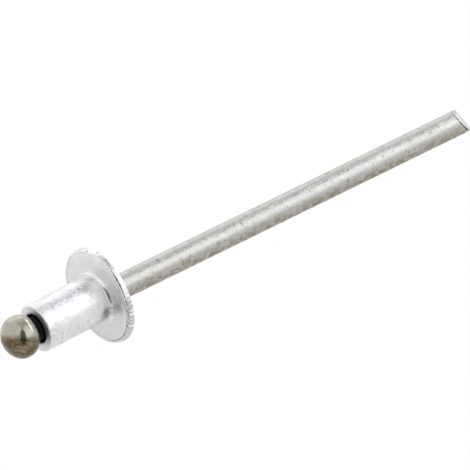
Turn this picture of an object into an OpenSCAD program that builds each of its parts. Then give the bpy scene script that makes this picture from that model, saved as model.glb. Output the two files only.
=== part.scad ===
// Open-end blind rivet with a domed flange, for a 3.3 mm hole, as it lies on a flat surface.
// It rests on the rim of its flange and on the tail of its mandrel, which leans in the bore.
// +X runs from the mandrel's head to its tail, +Z is up and z = 0 is the surface.

/* [Sleeve] */
// Outside diameter of the sleeve
body_d = 3.2; // [2.9:0.05:4]
// Length of the sleeve, from its end face to the seat under the flange
body_len = 5; // [4:0.1:12]
// Play of the mandrel in the bore, on the diameter
bore_play = 0.35; // [0.1:0.01:0.4]
// Flare of the bore's mouth at the end face, on the radius
mouth_flare = 0.05; // [0.02:0.01:0.1]
// Rounding of the end face's outer edge
end_round = 0.09; // [0.03:0.01:0.15]
// Fillet between the sleeve and the seat
seat_fillet = 0.25; // [0.05:0.05:0.5]

/* [Flange] */
// Outside diameter over the beads of the rim
flange_d = 6.56; // [5.8:0.02:8]
// How far the rim's curved band stands out past the flat seat
band_out = 0.2; // [0.05:0.01:0.25]
// Height of the curved band, from the seat to the widest circle
band_h = 0.4; // [0.3:0.05:0.5]
// Full height of the dome above the seat
flange_h = 1.05; // [0.85:0.05:1.4]
// Rounding between the widest circle and the dome
rim_round = 0.1; // [0.05:0.01:0.15]

/* [Rim beads] */
// Number of grooves that part the rim into beads
groove_count = 60; // [40:2:72]
// Depth of a groove
groove_depth = 0.05; // [0.02:0.01:0.08]
// Radius of a groove's round bottom
groove_r = 0.11; // [0.08:0.01:0.14]

/* [Mandrel] */
// Diameter of the stem
stem_d = 1.66; // [1.5:0.01:2]
// Length of the stem beyond the bore
stem_out = 29.8; // [20:0.2:40]
// Diameter of the head
head_d = 2.84; // [2.6:0.02:3.1]
// Radius of the flatter crown
head_crown = 1.56; // [1.5:0.01:2.4]
// Radius of the shoulder round the crown
head_shoulder = 0.78; // [0.6:0.02:1]
// Width of the straight band round the head
head_band = 0.14; // [0.05:0.01:0.3]
// Radius of the head's round underside
head_under = 0.94; // [0.8:0.02:1]
// Gap between the head's underside and the sleeve's end face
head_gap = 0.35; // [0.1:0.02:1]
// How far the pressed head sits off the stem's axis, towards the surface
head_drop = 0.08; // [0:0.01:0.15]

/* [Break neck] */
// Depth of each of the four nicks where the mandrel breaks
nick_depth = 0.22; // [0.1:0.01:0.3]
// Distance of the nicks from the head's underside
nick_at = 1.1; // [0.8:0.1:2]
// Angle between a nick's sides and the stem's axis
nick_angle = 40; // [30:1:60]

/* [Tail] */
// Angle of the pinched end's two bevels from a square cut
tail_bevel = 40; // [20:1:50]
// Width of the blunt ridge between the bevels
ridge_w = 0.1; // [0.04:0.02:0.3]
// Turn of the ridge about the stem, from level
tail_turn = 17; // [0:1:90]

/* [Rest] */
// Share of the bore's play that the mandrel leans through
lean_share = 0.62; // [0:0.02:1]
// Clearance where the stem lies on the bore's edge
touch_gap = 0.01; // [0.005:0.005:0.03]

/* [Hidden] */
$fn = 96;
over = 0.2; // overshoot of a cut past the surface that it opens

body_r = body_d / 2;
flange_r = flange_d / 2;
stem_r = stem_d / 2;
head_r = head_d / 2;
bore_r = (stem_d + bore_play) / 2;

// The curved band is an arc that is upright at the widest circle.
band_r = (band_out * band_out + band_h * band_h) / (2 * band_out);

// The round sits at the widest circle, and the dome is tangent to it.
rim_r = flange_r - rim_round;
dome_rise = flange_h - band_h;
dome_r = (rim_r * rim_r + dome_rise * dome_rise - rim_round * rim_round)
    / (2 * (dome_rise - rim_round));
dome_x = flange_h - dome_r;
bore_top = dome_x + sqrt(dome_r * dome_r - bore_r * bore_r);
bore_len = body_len + bore_top;

// A groove's centre, and the half angle that it takes out of the rim.
groove_at = flange_r - groove_depth + groove_r;
groove_half = acos((flange_r * flange_r + groove_at * groove_at - groove_r * groove_r)
    / (2 * flange_r * groove_at));

// The crown is a cap tangent to the shoulder's arc.
shoulder_off = head_r - head_shoulder;
crown_in = sqrt(pow(head_crown - head_shoulder, 2) - shoulder_off * shoulder_off);

// Places along the mandrel's axis. Zero is the bore's mouth in the dome.
under_off = head_r - head_under;
under_at = -bore_len - head_gap;
wide_at = under_at - sqrt(head_under * head_under - pow(stem_r - under_off, 2));
band_at = wide_at - head_band;
crown_at = band_at + crown_in;
heel_at = stem_out - (stem_r * cos(tail_turn) - ridge_w / 2) * tan(tail_bevel);

// The mandrel leans in the bore and lies on the bore's lower edge at the dome.
lean = lean_share * atan((bore_play - 2 * touch_gap) / bore_len);
stem_drop = bore_play / 2 - touch_gap;

// Slope of the sleeve at which the rim's round and the stem's heel both touch the surface.
rim_low = flange_r * cos(groove_half) - rim_round;
heel_x = bore_top + heel_at * cos(lean) - stem_r * sin(lean);
heel_z = -stem_drop - heel_at * sin(lean) - stem_r * cos(lean);
run = heel_x - band_h;
rise = heel_z + rim_low;
slope = atan2(rise, run) + asin(rim_round / norm([run, rise]));
lift = heel_x * sin(slope) - heel_z * cos(slope);

// Shift that puts the middle of the whole length over the origin.
fall = slope + lean;
mouth_x = bore_top * cos(slope) - stem_drop * sin(slope);
low_x = mouth_x + crown_at * cos(fall) - head_drop * sin(fall) - head_crown;
high_x = mouth_x + stem_out * cos(fall) + stem_r * sin(tail_turn) * sin(fall);
mid_x = (low_x + high_x) / 2;

// Lays the sleeve's frame on the surface. Its x runs along the sleeve, from the seat.
module at_rest() {
    translate([-mid_x, 0, lift]) rotate([0, slope, 0]) children();
}

// Sets the mandrel in the bore, in the sleeve's frame.
module in_bore() {
    translate([bore_top, 0, -stem_drop]) rotate([0, lean, 0]) children();
}

// Turns what is drawn along Z so that it runs along X.
module along_x() {
    rotate([0, 90, 0]) children();
}

// Part of a disc between the section's axis and the direction of a point.
module cap(radius, to) {
    reach = 2 * radius;
    intersection() {
        circle(radius);
        polygon([[0, 0], [0, reach], [to[0] / to[1] * reach, reach]]);
    }
}

// Half section of the flange: flat seat, curved band, small round and dome.
module flange_section() {
    square([flange_r - band_r, band_h]);
    intersection() {
        translate([flange_r - band_r, band_h]) circle(band_r);
        square([flange_r, band_h]);
    }
    translate([rim_r, band_h]) circle(rim_round);
    intersection() {
        translate([0, dome_x]) cap(dome_r, [rim_r, band_h - dome_x]);
        translate([0, band_h / 2]) square([flange_r, flange_h]);
    }
}

// Half section of the tube: rounded end edge, and the fillet that runs out into the seat.
module tube_section() {
    translate([0, end_round - body_len]) square([body_r, body_len - end_round + band_h / 2]);
    translate([0, -body_len]) square([body_r - end_round, body_len]);
    translate([body_r - end_round, end_round - body_len]) circle(end_round);
    difference() {
        translate([0, -seat_fillet]) square([body_r + seat_fillet, seat_fillet + band_h / 2]);
        translate([body_r + seat_fillet, -seat_fillet]) circle(seat_fillet);
    }
}

// Grooves round the rim, with one at the bottom, so that two beads touch the surface.
module rim_grooves() {
    for (i = [0 : groove_count - 1])
        rotate(i * 360 / groove_count)
            translate([groove_at, 0, -over])
                cylinder(r = groove_r, h = flange_h + 2 * over, $fn = 24);
}

// Half section of the head: crown, shoulder, straight band and round underside.
module head_section() {
    translate([0, crown_at]) mirror([0, 1]) cap(head_crown, [shoulder_off, crown_in]);
    intersection() {
        translate([shoulder_off, band_at]) circle(head_shoulder);
        translate([0, band_at - head_crown]) square([head_r, head_crown]);
    }
    translate([0, band_at]) square([head_r, head_band]);
    intersection() {
        translate([under_off, wide_at]) circle(head_under);
        translate([0, wide_at]) square([head_r, head_under]);
    }
}

// Four straight nicks square to each other, where the stem breaks when the rivet is set.
module break_nicks() {
    out = nick_depth + over;
    half = out / tan(nick_angle);
    for (turn = [0 : 90 : 270])
        rotate(turn)
            translate([stem_r - nick_depth, 0, under_at + nick_at])
                rotate([90, 0, 0])
                    linear_extrude(height = stem_d, center = true)
                        polygon([[0, 0], [out, half], [out, -half]]);
}

// Two bevels that leave a blunt ridge across the stem's end.
module tail_cuts() {
    block = 2 * stem_d;
    for (side = [0, 180])
        rotate(side + tail_turn)
            translate([ridge_w / 2, 0, stem_out])
                rotate([0, tail_bevel, 0])
                    translate([-block, -block, 0]) cube([2 * block, 2 * block, block]);
}

// Sleeve and flange, one piece of aluminium bored right through.
module rivet_body() {
    color("gainsboro") at_rest() along_x() difference() {
        rotate_extrude() {
            tube_section();
            flange_section();
        }
        translate([0, 0, -body_len - over]) cylinder(r = bore_r, h = body_len + flange_h + 2 * over);
        translate([0, 0, -body_len])
            cylinder(r1 = bore_r + mouth_flare, r2 = bore_r, h = 2 * mouth_flare);
        rim_grooves();
    }
}

// Head, break neck, stem and pinched tail, one piece of plated steel.
module mandrel() {
    color("darkkhaki") at_rest() in_bore() along_x() difference() {
        union() {
            translate([head_drop, 0, 0]) rotate_extrude() head_section();
            translate([0, 0, wide_at]) cylinder(r = stem_r, h = stem_out - wide_at);
        }
        break_nicks();
        tail_cuts();
    }
}

rivet_body();
mandrel();
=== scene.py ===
# Open-end blind rivet on a white table: turned aluminium sleeve with a beaded flange, zinc-plated steel mandrel.
# Lengths in the dictionaries are millimetres. Each piece is drawn along its own axis and laid on the table at the end.
import math
import random

import bmesh
import bpy
from mathutils import Matrix, Vector, noise


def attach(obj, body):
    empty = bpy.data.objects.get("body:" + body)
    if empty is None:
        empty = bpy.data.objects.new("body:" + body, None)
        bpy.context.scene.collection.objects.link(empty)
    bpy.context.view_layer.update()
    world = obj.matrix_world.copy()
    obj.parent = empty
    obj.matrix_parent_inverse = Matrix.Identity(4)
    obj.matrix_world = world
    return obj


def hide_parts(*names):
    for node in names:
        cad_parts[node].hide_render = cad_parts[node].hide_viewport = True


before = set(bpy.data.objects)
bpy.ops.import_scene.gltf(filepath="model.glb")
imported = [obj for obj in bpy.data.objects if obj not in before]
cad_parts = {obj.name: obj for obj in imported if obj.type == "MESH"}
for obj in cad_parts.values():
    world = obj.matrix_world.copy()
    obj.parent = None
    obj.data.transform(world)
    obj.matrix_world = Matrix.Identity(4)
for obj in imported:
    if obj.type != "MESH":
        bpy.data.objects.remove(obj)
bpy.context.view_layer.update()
scene = bpy.context.scene
mm = 0.001

# How the rivet lies: on the rim of its flange and the heel of the mandrel's tail
rest = {
    "middle": 11.62416,   # from the seat to the middle of the whole length
    "lift": 3.29308,      # height of the sleeve's axis at the seat
    "slope": 2.48494,     # degrees, the sleeve's axis falls towards the tail
    "lean": 1.95277,      # degrees more for the mandrel, in its loose bore
    "boreTop": 0.99707,   # bore's mouth in the dome, measured from the seat
    "stemDrop": 0.165,    # the mandrel lies this far under the bore's axis there
}
slopeTurn = Matrix.Rotation(math.radians(rest["slope"]), 4, "Y")
leanTurn = Matrix.Rotation(math.radians(rest["lean"]), 4, "Y")
toSleeve = Matrix.Translation((-rest["middle"], 0, rest["lift"])) @ slopeTurn
toMandrel = toSleeve @ Matrix.Translation((rest["boreTop"], 0, -rest["stemDrop"])) @ leanTurn
alongX = Matrix.Rotation(math.radians(90), 4, "Y")

cameraSet = {
    "azimuth": -39.605,
    "elevation": 42.8,
    "distance": 0.9,      # m, a long lens from far away, so hardly any perspective
    "lens": 1072.5,
    "sensor": 36,
    "clip": (0.01, 20),   # m
    "aim": (-0.143, 0.0165, 1.915),
}


def buildCamera():
    turn, tilt = math.radians(cameraSet["azimuth"]), math.radians(cameraSet["elevation"])
    backward = Vector((math.sin(turn) * math.cos(tilt), -math.cos(turn) * math.cos(tilt), math.sin(tilt)))
    camera = bpy.data.objects.new("camera", bpy.data.cameras.new("camera"))
    camera.data.lens = cameraSet["lens"]
    camera.data.sensor_width = cameraSet["sensor"]
    camera.data.clip_start, camera.data.clip_end = cameraSet["clip"]
    camera.location = Vector(cameraSet["aim"]) * mm + backward * cameraSet["distance"]
    camera.rotation_mode = "QUATERNION"
    camera.rotation_quaternion = (-backward).to_track_quat("-Z", "Y")
    scene.collection.objects.link(camera)
    scene.camera = camera
    scene.view_settings.view_transform = "Standard"


buildCamera()
print("camera ready")


# Helpers for the node trees
def newMaterial(name):
    material = bpy.data.materials.new(name)
    material.use_nodes = True
    return material, material.node_tree, material.node_tree.nodes["Principled BSDF"]


def addNode(tree, kind, **values):
    node = tree.nodes.new(kind)
    for key, value in values.items():
        setattr(node, key, value)
    return node


def pieceSpace(tree, place):
    # Object coordinates turned into the piece's own millimetres, with Z along its axis
    coordinates = addNode(tree, "ShaderNodeTexCoord")
    mapping = addNode(tree, "ShaderNodeMapping", vector_type="TEXTURE")
    mapping.inputs["Location"].default_value = place.to_translation() * mm
    mapping.inputs["Rotation"].default_value = (place @ alongX).to_euler()
    mapping.inputs["Scale"].default_value = (mm, mm, mm)
    tree.links.new(coordinates.outputs["Object"], mapping.inputs["Vector"])
    return mapping.outputs["Vector"]


def ranged(tree, value, low=0.0, high=1.0, start=0.0, end=1.0, smooth=False):
    # The value's run from start to end becomes low to high, and stays within them
    spread = addNode(tree, "ShaderNodeMapRange", interpolation_type="SMOOTHSTEP" if smooth else "LINEAR")
    for key, number in (("From Min", start), ("From Max", end), ("To Min", low), ("To Max", high)):
        spread.inputs[key].default_value = number
    tree.links.new(value, spread.inputs["Value"])
    return spread.outputs["Result"]


def noiseMap(tree, space, scale, stretch=(1, 1, 1), detail=3.0, rough=0.55, low=0.35, high=0.65, shift=0.0):
    # Noise between 0 and 1, spread by its low and high ends
    mapping = addNode(tree, "ShaderNodeMapping")
    mapping.inputs["Scale"].default_value = stretch
    mapping.inputs["Location"].default_value = (shift, shift * 0.7, shift * 1.3)
    texture = addNode(tree, "ShaderNodeTexNoise")
    for key, number in (("Scale", scale), ("Detail", detail), ("Roughness", rough)):
        texture.inputs[key].default_value = number
    tree.links.new(space, mapping.inputs["Vector"])
    tree.links.new(mapping.outputs["Vector"], texture.inputs["Vector"])
    return ranged(tree, texture.outputs["Fac"], start=low, end=high)


def mixColor(tree, factor, first, second):
    mix = addNode(tree, "ShaderNodeMix", data_type="RGBA")
    tree.links.new(factor, mix.inputs[0])
    for socket, value in ((mix.inputs[6], first), (mix.inputs[7], second)):
        if isinstance(value, bpy.types.NodeSocket):
            tree.links.new(value, socket)
        else:
            socket.default_value = (*value, 1)
    return mix.outputs[2]


def calculate(tree, operation, first, second=0.0, clamp=False):
    node = addNode(tree, "ShaderNodeMath", operation=operation, use_clamp=clamp)
    for socket, value in zip(node.inputs, (first, second)):
        if isinstance(value, bpy.types.NodeSocket):
            tree.links.new(value, socket)
        else:
            socket.default_value = value
    return node.outputs[0]


def product(tree, first, second, clamp=False):
    return calculate(tree, "MULTIPLY", first, second, clamp)


def dotWith(tree, vector, direction):
    reach = addNode(tree, "ShaderNodeVectorMath", operation="DOT_PRODUCT")
    tree.links.new(vector, reach.inputs[0])
    reach.inputs[1].default_value = direction
    return reach.outputs["Value"]


def around(tree, space, centre, direction, start, end):
    # How far a point lies from the centre towards a direction, as a share between start and end
    away = addNode(tree, "ShaderNodeVectorMath", operation="SUBTRACT")
    tree.links.new(space, away.inputs[0])
    away.inputs[1].default_value = centre
    return ranged(tree, dotWith(tree, away.outputs["Vector"], direction), start=start, end=end, smooth=True)


def blot(tree, space, centre, inner, outer):
    # 1 near a point, fading to 0 at the outer distance
    far = addNode(tree, "ShaderNodeVectorMath", operation="DISTANCE")
    tree.links.new(space, far.inputs[0])
    far.inputs[1].default_value = centre
    return ranged(tree, far.outputs["Value"], low=1.0, high=0.0, start=inner, end=outer, smooth=True)


def bumps(tree, layers):
    # Layers of (height socket, strength, depth), each over the one before
    normal = None
    for height, strength, depth in layers:
        bump = addNode(tree, "ShaderNodeBump")
        bump.inputs["Strength"].default_value = strength
        bump.inputs["Distance"].default_value = depth * mm
        tree.links.new(height, bump.inputs["Height"])
        if normal:
            tree.links.new(normal, bump.inputs["Normal"])
        normal = bump.outputs["Normal"]
    return normal


# Materials. Turns on the sleeve are degrees from its top towards the camera's side.
aluminiumLook = {
    "bright": (0.93, 0.93, 0.93),
    "dull": (0.71, 0.71, 0.72),
    "roughness": (0.16, 0.28),
    "speckle": 4.5,                  # per mm
    "drawLines": 9.0,                # per mm
    "ringLines": 1.6,                # turned rings lie this much closer
    # dark colour of marks, and of the painted shade lines and smudges
    "grimeAndShade": (0.12, 0.095, 0.09),
    "edge": 9.0,                     # radius of a painted shade line, beyond the part where there is none
    "shadeLineWidth": (0.015, 0.05),
    "shadeLineStrength": 0.8,
    "shadeLineSide": (80, 0.3, 2.4),      # turn of the side where it lies, and its start and end
    "markFade": 0.4,                 # share of a mark's strength left on the speckles
}
sleeveLook = dict(
    aluminiumLook,
    roughness=(0.27, 0.36),
    anisotropy=0.7,
    pitsAndPaintedShade=(0.53, 0.52, 0.59),       # band of fine pits along the sleeve's top; their lavender grey is partly a painted dark reflection
    pitsFrom=(0, 0, -2.5),
    pitsTowards=(12, 0.018),         # turn, and slope along the axis
    pitsBand=(1.5, 1.585),
    rootBand=(-1.2, -0.6),           # next to the flange it is rubbed matt, and on the lit side painted white as a highlight
    rootRoughness=0.25,
    # painted highlight: white colour next to the flange, on the lit side
    paintedHighlightTowards=42,
    paintedHighlightBand=(1.2, 1.45),
    paintedHighlightColour=(1.0, 1.0, 1.0),
)
# The seat's painted shade line lies at its outer edge
seatLook = dict(
    aluminiumLook, bright=(0.87, 0.87, 0.865), dull=(0.79, 0.79, 0.79), roughness=(0.42, 0.52), edge=3.05)
rimLook = dict(aluminiumLook, bright=(0.87, 0.87, 0.88), dull=(0.63, 0.63, 0.65))


def onSleeve(radius, turn, along):
    return (-radius * math.cos(math.radians(turn)), -radius * math.sin(math.radians(turn)), along)


def axialTone(tree, shader, space, look, tone):
    # Turning marks round the sleeve spread its reflections along it; its top has fine pits, whose lavender grey is
    # partly a painted dark reflection, and its root is rubbed matt and, on the lit side, painted white as a highlight
    shader.inputs["Anisotropic"].default_value = look["anisotropy"]
    along = addNode(tree, "ShaderNodeCombineXYZ")
    for part, value in zip("XYZ", toSleeve.to_3x3() @ Vector((1, 0, 0))):
        along.inputs[part].default_value = value
    tree.links.new(along.outputs[0], shader.inputs["Tangent"])
    top = around(tree, space, look["pitsFrom"], Vector(onSleeve(1, *look["pitsTowards"])), *look["pitsBand"])
    grain = noiseMap(tree, space, 6.0, stretch=(1, 1, 0.75), detail=3, rough=0.6, low=0.45, high=0.59, shift=7.0)
    clumps = noiseMap(tree, space, 1.8, stretch=(1, 1, 0.6), detail=2, low=0.42, high=0.58, shift=2.0)
    pits = product(tree, top, product(tree, grain, ranged(tree, clumps, 0.25, 1.0)))
    root = around(tree, space, (0, 0, 0), (0, 0, 1), *look["rootBand"])
    side = around(tree, space, (0, 0, 0), Vector(onSleeve(1, look["paintedHighlightTowards"], 0)), *look["paintedHighlightBand"])
    # Painted highlight: white next to the flange on the lit side
    paintedHighlight = product(tree, root, side)
    pits = product(tree, pits, ranged(tree, paintedHighlight, 1.0, 0.1))
    # The pits' lavender grey is partly a painted dark reflection
    tone = mixColor(tree, pits, tone, look["pitsAndPaintedShade"])
    return mixColor(tree, paintedHighlight, tone, look["paintedHighlightColour"]), pits, root


def cornerShadeTone(tree, space, look, radius, tone):
    # Painted shade: a dark line in the corner between seat and rim, on the camera's side
    near = calculate(tree, "ABSOLUTE", calculate(tree, "SUBTRACT", radius, look["edge"]))
    start, end = look["shadeLineWidth"]
    line = ranged(tree, near, low=look["shadeLineStrength"], high=0.0, start=start, end=end)
    turn, *band = look["shadeLineSide"]
    side = around(tree, space, (0, 0, 0), Vector(onSleeve(1, turn, 0)), *band)
    return mixColor(tree, product(tree, line, side), tone, look["grimeAndShade"])


def makeAluminium(name, look, lines, marks=()):
    # Lines: "axial" on the sleeve, "turned" on the flange; marks: (place, inner, outer, strength) of dark smudges
    material, tree, shader = newMaterial(name)
    shader.inputs["Metallic"].default_value = 1.0
    space = pieceSpace(tree, toSleeve)
    speckle = noiseMap(tree, space, look["speckle"], detail=4, rough=0.65)
    patch = noiseMap(tree, space, 1.1, detail=3, low=0.4, high=0.62, shift=3.0)
    dullness = product(tree, speckle, calculate(tree, "ADD", patch, 0.25), clamp=True)
    tone = mixColor(tree, dullness, look["bright"], look["dull"])
    rough = ranged(tree, speckle, *look["roughness"])
    if lines == "axial":
        streak = noiseMap(tree, space, look["drawLines"], stretch=(1, 1, 0.06), detail=4, rough=0.6)
        tone, pits, root = axialTone(tree, shader, space, look, tone)
        rough = calculate(tree, "ADD", rough, product(tree, root, look["rootRoughness"]))
        extra = [(pits, 0.35, 0.01)]
    else:
        split = addNode(tree, "ShaderNodeSeparateXYZ")
        tree.links.new(space, split.inputs[0])
        across, over = (calculate(tree, "POWER", split.outputs[axis], 2.0) for axis in "XY")
        radius = calculate(tree, "SQRT", calculate(tree, "ADD", across, over))
        rings = addNode(tree, "ShaderNodeCombineXYZ")
        tree.links.new(radius, rings.inputs["X"])
        ringScale = look["drawLines"] * look["ringLines"]
        streak = noiseMap(tree, rings.outputs["Vector"], ringScale, detail=3, rough=0.7)
        tone = cornerShadeTone(tree, space, look, radius, tone)
        extra = []
    for spot, inner, outer, strength in marks:
        speckled = ranged(tree, speckle, strength, strength * look["markFade"])
        mark = product(tree, blot(tree, space, spot, inner, outer), speckled)
        tone = mixColor(tree, mark, tone, look["grimeAndShade"])
    layers = [(patch, 0.12, 0.02), (streak, 0.12, 0.006), (speckle, 0.14, 0.006)] + extra
    tree.links.new(tone, shader.inputs["Base Color"])
    tree.links.new(rough, shader.inputs["Roughness"])
    tree.links.new(bumps(tree, layers), shader.inputs["Normal"])
    return material


zincLook = {
    "bright": (0.55, 0.557, 0.556),
    "olive": (0.49, 0.475, 0.425),
    "dark": (0.30, 0.29, 0.25),
    "under": (0.275, 0.245, 0.16),   # painted shade: darker and browner on the side that faces down in the picture
    "roughness": (0.2, 0.32),
}
# On the head, the under colour is a darker, browner painted shade towards the bottom of the picture
headLook = dict(
    zincLook, olive=(0.385, 0.366, 0.293), under=(0.125, 0.087, 0.038), roughness=(0.07, 0.15),
    bright=(0.52, 0.51, 0.455))
lookUp = Vector((0.433, 0.5235, 0.734))       # upwards in the photograph
upOnPiece = (toMandrel @ alongX).to_3x3().inverted() @ lookUp
# The stem's side that faces down in the picture, where the painted shade lies
stemShadeSide = -Vector((upOnPiece.x, upOnPiece.y, 0)).normalized()
headMiddle = (0.08, 0, -7.29)


def makeZinc(name, look, finish):
    # Finish: "stem" is drawn wire, "head" is pressed and smoother
    material, tree, shader = newMaterial(name)
    shader.inputs["Metallic"].default_value = 1.0
    space = pieceSpace(tree, toMandrel)
    cloud = noiseMap(tree, space, 1.3, stretch=(1, 1, 0.45), detail=3, rough=0.55, low=0.38, high=0.62)
    mottle = noiseMap(tree, space, 4.2, stretch=(1, 1, 0.7), detail=2, rough=0.5, low=0.38, high=0.62, shift=5.0)
    spots = noiseMap(tree, space, 2.6, detail=2, rough=0.5, low=0.62, high=0.7, shift=9.0)
    tone = mixColor(tree, ranged(tree, mottle, 0.0, 0.55), look["bright"], look["olive"])
    tone = mixColor(tree, ranged(tree, cloud, 0.0, 0.4), tone, look["olive"])
    tone = mixColor(tree, ranged(tree, spots, 0.0, 0.7), tone, look["dark"])
    if finish == "stem":
        streak = noiseMap(tree, space, 8.0, stretch=(1, 1, 0.04), detail=4, rough=0.65)
        low = around(tree, space, (0, 0, 0), stemShadeSide, -0.2, 0.75)
        layers = [(cloud, 0.24, 0.03), (mottle, 0.18, 0.01), (streak, 0.07, 0.008)]
        uneven = ranged(tree, mottle, 0.3, 1.08)
    else:
        low = around(tree, space, headMiddle, -upOnPiece, -0.3, 0.25)
        layers = [(cloud, 0.3, 0.05), (mottle, 0.5, 0.012)]
        uneven = product(tree, ranged(tree, cloud, 1.05, 0.7), ranged(tree, mottle, 0.78, 1.05))
    # Painted shade: darker and browner towards the bottom of the picture
    tone = mixColor(tree, product(tree, low, uneven), tone, look["under"])
    tree.links.new(tone, shader.inputs["Base Color"])
    tree.links.new(ranged(tree, mottle, *look["roughness"]), shader.inputs["Roughness"])
    tree.links.new(bumps(tree, layers), shader.inputs["Normal"])
    return material


def makeDull(name, place, colour, roughness, metallic=0.6, other=None):
    # Two tones in soft streaks: bore and neck painted near black as the shade inside them, the bore's scraped mouth,
    # and the tail's pinched and sheared faces
    material, tree, shader = newMaterial(name)
    shader.inputs["Metallic"].default_value = metallic
    space = pieceSpace(tree, place)
    film = noiseMap(tree, space, 4.5, stretch=(1, 1, 0.3), detail=3, rough=0.6, low=0.42, high=0.58)
    tone = mixColor(tree, film, colour, other or tuple(part * 0.5 for part in colour))
    tree.links.new(tone, shader.inputs["Base Color"])
    tree.links.new(ranged(tree, film, roughness, roughness + 0.2), shader.inputs["Roughness"])
    tree.links.new(bumps(tree, ((film, 0.3, 0.01),)), shader.inputs["Normal"])
    return material


def placeMarks(rows):
    # Rows of (radius, turn, along, inner, outer, strength)
    return tuple((onSleeve(*row[:3]), *row[3:]) for row in rows)


sleeveMarks = placeMarks((
    (1.6, 88, -0.5, 0.1, 0.5, 0.95), (1.6, 75, -0.45, 0.0, 0.45, 0.5), (1.6, 62, -0.4, 0.0, 0.35, 0.25),
    (1.6, 104, -0.8, 0.0, 0.4, 0.4), (1.6, 103, -0.42, 0.0, 0.42, 0.65),
))
# Painted reflection: dark smudges on the seat beside the sleeve stand in for the dark side mirrored in it
seatPaintedReflectionMarks = placeMarks((
    (2.15, 56, 0, 0.05, 0.35, 0.3), (2.3, 66, 0, 0.05, 0.4, 0.36), (2.4, 75, 0, 0.1, 0.45, 0.4),
    (2.15, 80, 0, 0.0, 0.3, 0.26), (2.8, 60, 0, 0.1, 0.45, 0.42), (3.0, 68, 0, 0.0, 0.35, 0.4),
    (2.85, 49, 0, 0.0, 0.4, 0.42),
))
# Painted shade: broad dark smudges along the rim's camera side; then small dark marks on its top
rimMarksAndShade = placeMarks((3.25, turn, 0.2, 0.1, 0.5, 0.42) for turn in (62, 72, 82, 92, 102, 112, 122))
rimMarksAndShade += placeMarks(
    (3.26, turn, along, 0.03, 0.14, 0.8)
    for turn, along in ((-52, 0.33), (-23, 0.12), (-9, 0.38), (7, 0.38), (34, 0.1), (41, 0.1)))
filletMarks = placeMarks(
    (1.69, turn, -0.08, 0.05, 0.18, strength)
    for turn, strength in ((33, 0.6), (38, 0.9), (44, 1), (50, 1), (56, 1), (62, 0.9), (67, 0.6)))
filletMarks += placeMarks((1.68, turn, -0.1, 0.12, 0.34, 0.45) for turn in (76, 86, 96))

# The order of the materials is the order of their slots in the mesh.
sleeveMetals = {
    "tube": makeAluminium("sleeveAluminium", sleeveLook, "axial", sleeveMarks),
    "flat": makeAluminium("flangeAluminium", seatLook, "turned", seatPaintedReflectionMarks),
    # Painted shade: the bore is near black, for the shade inside it
    "bore": makeDull("boreShadeBlack", toSleeve, (0.02, 0.02, 0.02), 0.5),
    "fillet": makeAluminium("filletAluminium", aluminiumLook, "turned", filletMarks),
    "mouth": makeDull("mouthAluminium", toSleeve, (0.75, 0.75, 0.77), 0.55, 0.2),
    "rim": makeAluminium("rimAluminium", rimLook, "turned", rimMarksAndShade),
}
mandrelMetals = {
    "stem": makeZinc("stemZinc", zincLook, "stem"),
    "head": makeZinc("headZinc", headLook, "head"),
    # Painted shade: the neck is near black, for the shade in the gap under the head
    "neck": makeDull("neckShadeBlack", toMandrel, (0.012, 0.012, 0.011), 0.45),
    "edge": makeDull("pinchedEdge", toMandrel, (0.04, 0.036, 0.032), 0.4, 0.8, other=(0.46, 0.45, 0.42)),
    "shear": makeDull("shearedEnd", toMandrel, (0.8, 0.8, 0.78), 0.35, 0.9, other=(0.68, 0.68, 0.66)),
}
print("materials ready")


# Shapes
def arcPoints(centre, radius, start, end, steps):
    # Points of an arc in the (radius, along) plane, angles in degrees from outwards towards the tail
    turns = [math.radians(start + (end - start) * i / steps) for i in range(steps + 1)]
    return [(centre[0] + radius * math.cos(turn), centre[1] + radius * math.sin(turn)) for turn in turns]


def spunPiece(profile, steps, closed):
    # A profile of (radius, along) points turned once round Z
    bm = bmesh.new()
    points = [bm.verts.new((r, 0, z)) for r, z in profile]
    nextPoints = points[1:] + points[:1] if closed else points[1:]
    edges = [bm.edges.new((a, b)) for a, b in zip(points, nextPoints)]
    bmesh.ops.spin(
        bm, geom=points + edges, cent=(0, 0, 0), axis=(0, 0, 1), angle=2 * math.pi, steps=steps, use_merge=True)
    bmesh.ops.remove_doubles(bm, verts=bm.verts, dist=1e-5)
    bmesh.ops.recalc_face_normals(bm, faces=bm.faces)
    return bm


def scaleAcross(vert, factor):
    # Moves a point towards the axis or away from it
    vert.co.x *= factor
    vert.co.y *= factor


def layPiece(bm, name, place, metals, node):
    bm.transform(Matrix.Scale(mm, 4) @ place @ alongX)
    mesh = bpy.data.meshes.new(name)
    bm.to_mesh(mesh)
    bm.free()
    for material in metals.values():
        mesh.materials.append(material)
    piece = bpy.data.objects.new(name, mesh)
    scene.collection.objects.link(piece)
    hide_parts(node)
    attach(piece, "root")
    print(name, "has", len(mesh.polygons), "faces")


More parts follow.
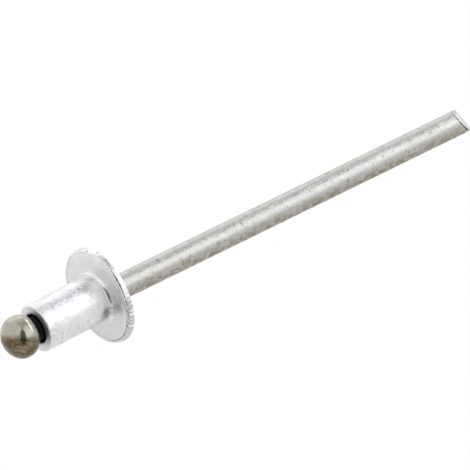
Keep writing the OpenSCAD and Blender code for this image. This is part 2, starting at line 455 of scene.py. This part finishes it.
sleeveShape = {
    "radius": 1.6, "length": 5.0, "boreRadius": 1.005, "flare": 0.05, "endRound": 0.09, "fillet": 0.25,
    "flangeRadius": 3.28, "bandOut": 0.2, "bandHeight": 0.4, "flangeHeight": 1.05, "rimRound": 0.1,
    "fullness": 0.85,                # the band is a little fuller than the plain arc, which is 1
    "recess": ((0.015, 0.03), (0.05, 0.03), (0.07, 0.0)),    # in from the seat's edge, and depth
    "boreRings": (-4.2, -3.0, -1.5, 0.0, 0.7, 0.95),
    "seatRings": (2.8, 2.5, 2.2),
    "tubeRings": (-0.6, -1.2, -1.8, -2.4, -3.0, -3.6, -4.2, -4.7),
    "endRings": (1.4, 1.2),
    "steps": 720, "seed": 4,
    "beads": 60, "grooveDepth": 0.055,
    "depthSpread": (0.35, 1.7),      # share of the depth
    "shiftSpread": 0.16,             # share of a bead, to either side
    "halfWidths": (0.18, 0.32),      # share of a bead
    "restingHalfWidth": 0.24,        # the groove that lies on the table is an even one
    "worn": (-75, 60, 0.12),         # part of the rim, in degrees from its top, and share of the depth left there
    "sharp": (62, 140, 1.7),         # part of the rim where the beads stand out more
    "grooveFrom": 3.04, "grooveRun": 0.12,                   # radius where the grooves begin, and their run-out
    "grooveTop": 0.56, "grooveFade": 0.08,                   # height where they end, and their run-out
}


def sleeveProfile(s):
    rimRadius = s["flangeRadius"] - s["rimRound"]
    rise = s["flangeHeight"] - s["bandHeight"]
    domeRadius = (rimRadius ** 2 + rise ** 2 - s["rimRound"] ** 2) / (2 * (rise - s["rimRound"]))
    domeCentre = s["flangeHeight"] - domeRadius
    rimTurn = math.degrees(math.atan2(s["bandHeight"] - domeCentre, rimRadius))
    mouthTurn = math.degrees(math.acos(s["boreRadius"] / domeRadius))
    end = -s["length"]
    profile = [(s["boreRadius"] + s["flare"], end), (s["boreRadius"], end + 2 * s["flare"])]
    profile += [(s["boreRadius"], z) for z in s["boreRings"]]
    profile += arcPoints((0, domeCentre), domeRadius, mouthTurn, rimTurn, 14)
    profile += arcPoints((rimRadius, s["bandHeight"]), s["rimRound"], rimTurn, 0, 6)[1:]
    seatEdge = s["flangeRadius"] - s["bandOut"]
    for step in range(1, 13):
        turn = math.radians(90 - step * 7.5)
        out = s["bandOut"] * math.sin(turn) ** s["fullness"]
        profile.append((seatEdge + out, s["bandHeight"] * (1 - max(0.0, math.cos(turn)) ** s["fullness"])))
    profile += [(seatEdge - inwards, depth) for inwards, depth in s["recess"]]
    profile += [(r, 0.0) for r in s["seatRings"]]
    profile += arcPoints((s["radius"] + s["fillet"], -s["fillet"]), s["fillet"], 90, 180, 7)
    profile += [(s["radius"], z) for z in s["tubeRings"]]
    profile += arcPoints((s["radius"] - s["endRound"], end + s["endRound"]), s["endRound"], 0, -90, 6)
    profile += [(r, end) for r in s["endRings"]]
    return profile


def rollGrooves(s):
    # Depth, shift and half width of each groove
    dice = random.Random(s["seed"])
    depths = [s["grooveDepth"] * dice.uniform(*s["depthSpread"]) for _ in range(s["beads"])]
    shifts = [dice.uniform(-s["shiftSpread"], s["shiftSpread"]) for _ in range(s["beads"])]
    spans = [dice.uniform(*s["halfWidths"]) for _ in range(s["beads"])]
    for groove in range(s["beads"]):
        for start, end, share in (s["worn"], s["sharp"]):
            if start < groove * 360 / s["beads"] - 180 < end:
                depths[groove] *= share
    depths[0], shifts[0], spans[0] = s["grooveDepth"], 0.0, s["restingHalfWidth"]
    return list(zip(depths, shifts, spans))


def cutGrooves(bm, s):
    grooves = rollGrooves(s)
    for v in bm.verts:
        r, z = math.hypot(v.co.x, v.co.y), v.co.z
        if r < s["grooveFrom"] or z < 0.0:
            continue
        place = math.atan2(v.co.y, v.co.x) / (2 * math.pi) * s["beads"]
        depth, shift, span = grooves[round(place) % s["beads"]]
        away = abs(place - round(place) - shift)
        share = max(0.0, 1 - (away / span) ** 2)
        inwards = min(1.0, max(0.0, (r - s["grooveFrom"]) / s["grooveRun"]))
        upwards = min(1.0, max(0.0, (s["grooveTop"] - z) / s["grooveFade"]))
        cut = depth * share * (inwards * upwards)
        scaleAcross(v, (r - cut) / r)


def sleevePart(s, middle):
    # Which of the sleeve's materials a face wears, by its middle
    out = math.hypot(middle.x, middle.y)
    if out < s["boreRadius"] + 0.003 and middle.z < 0.8:
        return "bore"
    if out < s["boreRadius"] + s["flare"] and middle.z < 0:
        return "mouth"
    if middle.z < 0.01 - s["length"]:
        return "flat"
    if middle.z < -s["fillet"]:
        return "tube"
    if middle.z < -0.002:
        return "fillet"
    if out > s["flangeRadius"] - s["bandOut"] + 0.004 or middle.z > 0.1:
        return "rim"
    return "flat"


def buildSleeve():
    s = sleeveShape
    bm = spunPiece(sleeveProfile(s), s["steps"], closed=True)
    cutGrooves(bm, s)
    parts = list(sleeveMetals)
    for face in bm.faces:
        face.material_index = parts.index(sleevePart(s, face.calc_center_median()))
        face.smooth = True
    layPiece(bm, "sleeve", toSleeve, sleeveMetals, "rivet_body")


mandrelShape = {
    "stemRadius": 0.83, "stemOut": 29.8, "headRadius": 1.42, "crown": 1.56, "shoulder": 0.78, "band": 0.14,
    "under": 0.94, "gap": 0.35, "drop": 0.08, "boreLength": 5.99707,
    "nickDepth": 0.22, "nickAt": 1.1, "nickAngle": 40, "nickReach": 0.45,
    "wave": 0.008,                   # drawn wire is never quite even
    "waveScale": (0.5, 0.5, 0.45),   # per mm
    "tailBevel": 40, "ridge": 0.1, "tailTurn": 17, "tailRound": 0.03, "steps": 144,
    "crushed": 0.11, "crushedLength": 0.19,   # the pincers rounded the tail
    "edgeLine": 0.1,                          # and left a dark line behind that
    "overshoot": 0.3,                # past the tail, cut off again
}


def mandrelProfile(m):
    # (radius, along) from the crown's middle to past the tail, and where the head, the neck and the nicks are
    neckAt = -m["boreLength"] - m["gap"]
    underOff = m["headRadius"] - m["under"]
    wideAt = neckAt - math.sqrt(m["under"] ** 2 - (m["stemRadius"] - underOff) ** 2)
    bandAt = wideAt - m["band"]
    shoulderOff = m["headRadius"] - m["shoulder"]
    crownIn = math.sqrt((m["crown"] - m["shoulder"]) ** 2 - shoulderOff ** 2)
    meet = -math.degrees(math.atan2(crownIn, shoulderOff))
    neckTurn = math.degrees(math.atan2(neckAt - wideAt, m["stemRadius"] - underOff))
    profile = arcPoints((0, bandAt + crownIn), m["crown"], -90, meet, 16)
    profile += arcPoints((shoulderOff, bandAt), m["shoulder"], meet, 0, 12)[1:]
    profile += arcPoints((underOff, wideAt), m["under"], 0, neckTurn, 16)
    nick = neckAt + m["nickAt"]
    along = neckAt
    for end, step in ((nick - 0.4, 0.1), (nick + 0.4, 0.05), (m["stemOut"] - 0.5, 0.25)):  # rings, close at the nicks
        while along < end:
            along += step
            profile.append((m["stemRadius"], along))
    past = m["stemOut"] + m["overshoot"]
    profile += [(m["stemRadius"], past), (0.0, past)]
    return profile, wideAt, neckAt, nick


def shapeWire(bm, m, wideAt, neckAt, nick):
    for v in bm.verts:
        r = math.hypot(v.co.x, v.co.y)
        if v.co.z < neckAt:  # the head was pressed a little off the wire's axis
            v.co.x += m["drop"] * min(1.0, (neckAt - v.co.z) / (neckAt - wideAt))
        elif abs(v.co.z - nick) < m["nickReach"]:  # four straight nicks square to each other
            reach = m["stemRadius"] - m["nickDepth"] + abs(v.co.z - nick) / math.tan(math.radians(m["nickAngle"]))
            v.co.x = max(-reach, min(reach, v.co.x))
            v.co.y = max(-reach, min(reach, v.co.y))
        elif 1.0 < v.co.z < m["stemOut"] + 0.2 and r > 0.7:
            spot = Vector([part * scale for part, scale in zip(v.co, m["waveScale"])])
            scaleAcross(v, (r + noise.noise(spot) * m["wave"]) / r)


def bisect(bm, spot, slant, outer=False):
    everything = bm.verts[:] + bm.edges[:] + bm.faces[:]
    return bmesh.ops.bisect_plane(bm, geom=everything, dist=1e-5, plane_co=spot, plane_no=slant, clear_outer=outer)


def cutBack(bm, spot, slant):
    # One flat cut right across, closed again
    cut = bisect(bm, spot, slant, outer=True)
    border = [e for e in cut["geom_cut"] if isinstance(e, bmesh.types.BMEdge)]
    return bmesh.ops.holes_fill(bm, edges=border, sides=0)["faces"]


def pinchTail(bm, m):
    # Two bevels and a blunt ridge with crushed edges; gives back how far a point lies behind the cut end
    bevel = math.radians(m["tailBevel"])
    ways = [Matrix.Rotation(math.radians(side + m["tailTurn"]), 3, "Z") for side in (0, 180)]
    slants = [turned @ Vector((math.sin(bevel), 0, math.cos(bevel))) for turned in ways]
    for turned, slant in zip(ways, slants):
        for back in (m["crushedLength"] + m["edgeLine"], m["crushedLength"]):
            bisect(bm, turned @ Vector((m["ridge"] / 2, 0, m["stemOut"] - back)), slant)
    cutFaces = []
    for turned, slant in zip(ways, slants):
        cutFaces += cutBack(bm, turned @ Vector((m["ridge"] / 2, 0, m["stemOut"])), slant)
    cutFaces += cutBack(bm, Vector((0, 0, m["stemOut"])), Vector((0, 0, 1)))
    edges = list(dict.fromkeys(edge for face in cutFaces if face.is_valid for edge in face.edges))
    across = ways[0] @ Vector((1, 0, 0))

    def behindEnd(spot):
        return m["stemOut"] - max(0.0, abs(across.dot(spot)) - m["ridge"] / 2) * math.tan(bevel) - spot.z

    for v in dict.fromkeys(v for edge in edges for v in edge.verts):
        r = math.hypot(v.co.x, v.co.y)
        if r > m["stemRadius"] - 0.03:
            scaleAcross(v, 1 - m["crushed"] / r)
            v.co.z += behindEnd(v.co)
    bmesh.ops.bevel(
        bm, geom=edges, offset=m["tailRound"], offset_type="OFFSET", affect="EDGES", segments=2, profile=0.5,
        material=-1)
    return behindEnd


def mandrelPart(m, middle, neckAt, behindEnd):
    # Which of the mandrel's materials a face wears, by its middle
    if middle.z > m["stemOut"] - 1.6:
        gap = behindEnd(middle)
        if gap < m["crushedLength"] + m["edgeLine"] - 0.01:
            return "edge" if gap > m["crushedLength"] - 0.005 else "shear"
    if middle.z < neckAt - 0.12:
        return "head"
    return "neck" if middle.z < 0.4 else "stem"


def buildMandrel():
    m = mandrelShape
    profile, wideAt, neckAt, nick = mandrelProfile(m)
    bm = spunPiece(profile, m["steps"], closed=False)
    shapeWire(bm, m, wideAt, neckAt, nick)
    behindEnd = pinchTail(bm, m)
    bmesh.ops.recalc_face_normals(bm, faces=bm.faces)
    parts = list(mandrelMetals)
    for face in bm.faces:
        face.material_index = parts.index(mandrelPart(m, face.calc_center_median(), neckAt, behindEnd))
        face.smooth = len(face.verts) < 8  # the flat cut faces have more corners
    layPiece(bm, "mandrel", toMandrel, mandrelMetals, "mandrel")


buildSleeve()
buildMandrel()

# Table and light. Curves are (position, level) stops.
stageSet = {
    "floorColour": (0.79, 0.785, 0.775),
    "floorSize": 4,               # m, half its width
    "whiteShare": 0.988,          # how much of the table the camera sees as plain white
    "paintedGlowShare": (0.57, 1.0),   # and the metal, in front of the rivet and behind it: painted light, the table glows whiter behind it
    "paintedGlowSpan": (0.005, 0.014),     # m, where that changes, along Y
    "panel": (                    # brightness by angle, from the front horizon over the top to the back one
        (0, 0.9), (12, 0.96), (22, 1.08), (34, 1.36), (46, 1.4), (60, 1.38), (72, 1.12), (84, 0.8),
        (98, 0.58), (114, 0.61), (128, 0.8), (144, 1.12), (162, 1.3), (180, 1.3),
    ),
    "panelMost": 2.0,
    "panelSpan": ((0.0, 0), (0.36, 0), (0.53, 1), (0.78, 1), (0.88, 0.2), (0.95, 0)),    # how much of it shows along X
    "room": 0.94,
    "roomColour": (0.985, 0.99, 1.0, 1),
    "strip": ((0.0, 0), (0.822, 0), (0.838, 1), (0.866, 1), (0.884, 0), (1.0, 0)),       # a long bright tube, along X
    "stripArc": ((0.0, 0), (0.2, 0), (0.3, 1), (0.66, 1), (0.77, 0), (1.0, 0)),          # by share of the half turn
    "stripLevel": 3.1,
    "darkSide": (-0.5, -0.6, 0.62),   # where the photographer stands
    "darkSpan": (0.34, 0.66),         # half its width and height
    "darkEdge": (0.5, 1.4),           # where it begins to fade and where it ends, in squared half sizes
    "dark": 0.17,
}


def paleOrOwn(tree, share, own, white, output):
    # Shows the white shader for a share of the rays, and the surface's own one for the rest
    mix = addNode(tree, "ShaderNodeMixShader")
    tree.links.new(share, mix.inputs[0])
    tree.links.new(own.outputs[0], mix.inputs[1])
    tree.links.new(white.outputs[0], mix.inputs[2])
    tree.links.new(mix.outputs[0], tree.nodes[output].inputs["Surface"])


def buildFloor():
    bm = bmesh.new()
    bmesh.ops.create_grid(bm, x_segments=1, y_segments=1, size=stageSet["floorSize"])
    mesh = bpy.data.meshes.new("table")
    bm.to_mesh(mesh)
    bm.free()
    floor = bpy.data.objects.new("table", mesh)
    scene.collection.objects.link(floor)
    material, tree, shader = newMaterial("tablePaper")
    shader.inputs["Base Color"].default_value = (*stageSet["floorColour"], 1)
    shader.inputs["Roughness"].default_value = 0.9
    shader.inputs["Specular IOR Level"].default_value = 0.1
    path = addNode(tree, "ShaderNodeLightPath")
    seen = product(tree, path.outputs["Is Camera Ray"], stageSet["whiteShare"])
    mirrored = calculate(tree, "MAXIMUM", path.outputs["Is Glossy Ray"], path.outputs["Is Transmission Ray"])
    spot = addNode(tree, "ShaderNodeTexCoord").outputs["Object"]
    # Painted light: in reflections the table glows whiter behind the rivet than in front
    behind = around(tree, spot, (0, 0, 0), (0, 1, 0), *stageSet["paintedGlowSpan"])
    mirrored = product(tree, mirrored, ranged(tree, behind, *stageSet["paintedGlowShare"]))
    share = calculate(tree, "MAXIMUM", seen, mirrored)
    paleOrOwn(tree, share, shader, addNode(tree, "ShaderNodeEmission"), "Material Output")
    mesh.materials.append(material)


lamps = {  # place in metres, each aims at the rivet, size in metres, watts
    "overhead": {"place": (0.37, -0.065, 0.53), "size": (0.08, 0.5), "power": 0.05, "colour": (1, 1, 1)},
}


def buildLamps():
    for name, lamp in lamps.items():
        light = bpy.data.lights.new(name, "AREA")
        light.shape = "RECTANGLE"
        light.size, light.size_y = lamp["size"]
        light.energy = lamp["power"]
        light.color = lamp["colour"]
        holder = bpy.data.objects.new(name, light)
        holder.location = lamp["place"]
        holder.rotation_euler = Vector(lamp["place"]).to_track_quat("Z", "Y").to_euler()
        holder.visible_camera = False
        scene.collection.objects.link(holder)


def levels(tree, value, stops, most=1.0):
    # A smooth curve through the stops, as a ramp's grey
    ramp = addNode(tree, "ShaderNodeValToRGB")
    ramp.color_ramp.interpolation = "EASE"
    for _ in stops[2:]:
        ramp.color_ramp.elements.new(0.5)
    for element, (position, _) in zip(ramp.color_ramp.elements, stops):
        element.position = position
    for element, (_, level) in zip(ramp.color_ramp.elements, stops):
        element.color = (level / most, level / most, level / most, 1)
    tree.links.new(value, ramp.inputs["Fac"])
    return product(tree, ramp.outputs["Color"], most)


def darkFigure(tree, direction):
    # 1 where the photographer stands, 0 elsewhere
    centre = Vector(stageSet["darkSide"]).normalized()
    sideways = centre.cross(Vector((0, 0, 1))).normalized()
    figure = None
    for axis, half in zip((sideways, sideways.cross(centre)), stageSet["darkSpan"]):
        reach = calculate(tree, "ABSOLUTE", dotWith(tree, direction, axis / half))
        part = calculate(tree, "POWER", reach, 2.0)
        figure = calculate(tree, "ADD", figure, part) if figure else part
    start, end = stageSet["darkEdge"]
    shade = ranged(tree, figure, low=1.0, high=0.0, start=start, end=end, smooth=True)
    return product(tree, shade, calculate(tree, "GREATER_THAN", dotWith(tree, direction, centre), 0.0))


def buildSky():
    # A pale room with a broad soft panel over the rivet, a bright tube and a dim side behind the camera
    world = bpy.data.worlds.new("room")
    world.use_nodes = True
    scene.world = world
    tree = world.node_tree
    direction = addNode(tree, "ShaderNodeTexCoord").outputs["Generated"]
    split = addNode(tree, "ShaderNodeSeparateXYZ")
    tree.links.new(direction, split.inputs[0])
    front = product(tree, split.outputs["Y"], -1.0)
    angle = calculate(tree, "ARCTAN2", split.outputs["Z"], front)
    share = calculate(tree, "DIVIDE", angle, math.pi, clamp=True)
    panel = levels(tree, share, [(turn / 180, level) for turn, level in stageSet["panel"]], stageSet["panelMost"])
    along = calculate(tree, "MULTIPLY_ADD", split.outputs["X"], 0.5)
    along.node.inputs[2].default_value = 0.5
    span = levels(tree, along, stageSet["panelSpan"])
    extra = product(tree, calculate(tree, "SUBTRACT", panel, stageSet["room"]), span)
    light = calculate(tree, "ADD", extra, stageSet["room"])
    tube = product(tree, levels(tree, along, stageSet["strip"]), levels(tree, share, stageSet["stripArc"]))
    light = calculate(tree, "ADD", light, product(tree, tube, stageSet["stripLevel"]))
    dim = addNode(tree, "ShaderNodeMix", data_type="FLOAT")
    tree.links.new(darkFigure(tree, direction), dim.inputs[0])
    tree.links.new(light, dim.inputs[2])
    dim.inputs[3].default_value = stageSet["dark"]
    background = tree.nodes["Background"]
    background.inputs["Color"].default_value = stageSet["roomColour"]
    tree.links.new(dim.outputs[0], background.inputs["Strength"])
    white = addNode(tree, "ShaderNodeBackground")
    white.inputs["Color"].default_value = (1, 1, 1, 1)
    path = addNode(tree, "ShaderNodeLightPath")
    paleOrOwn(tree, path.outputs["Is Camera Ray"], background, white, "World Output")


buildFloor()
buildLamps()
buildSky()
print("table and lamps ready")
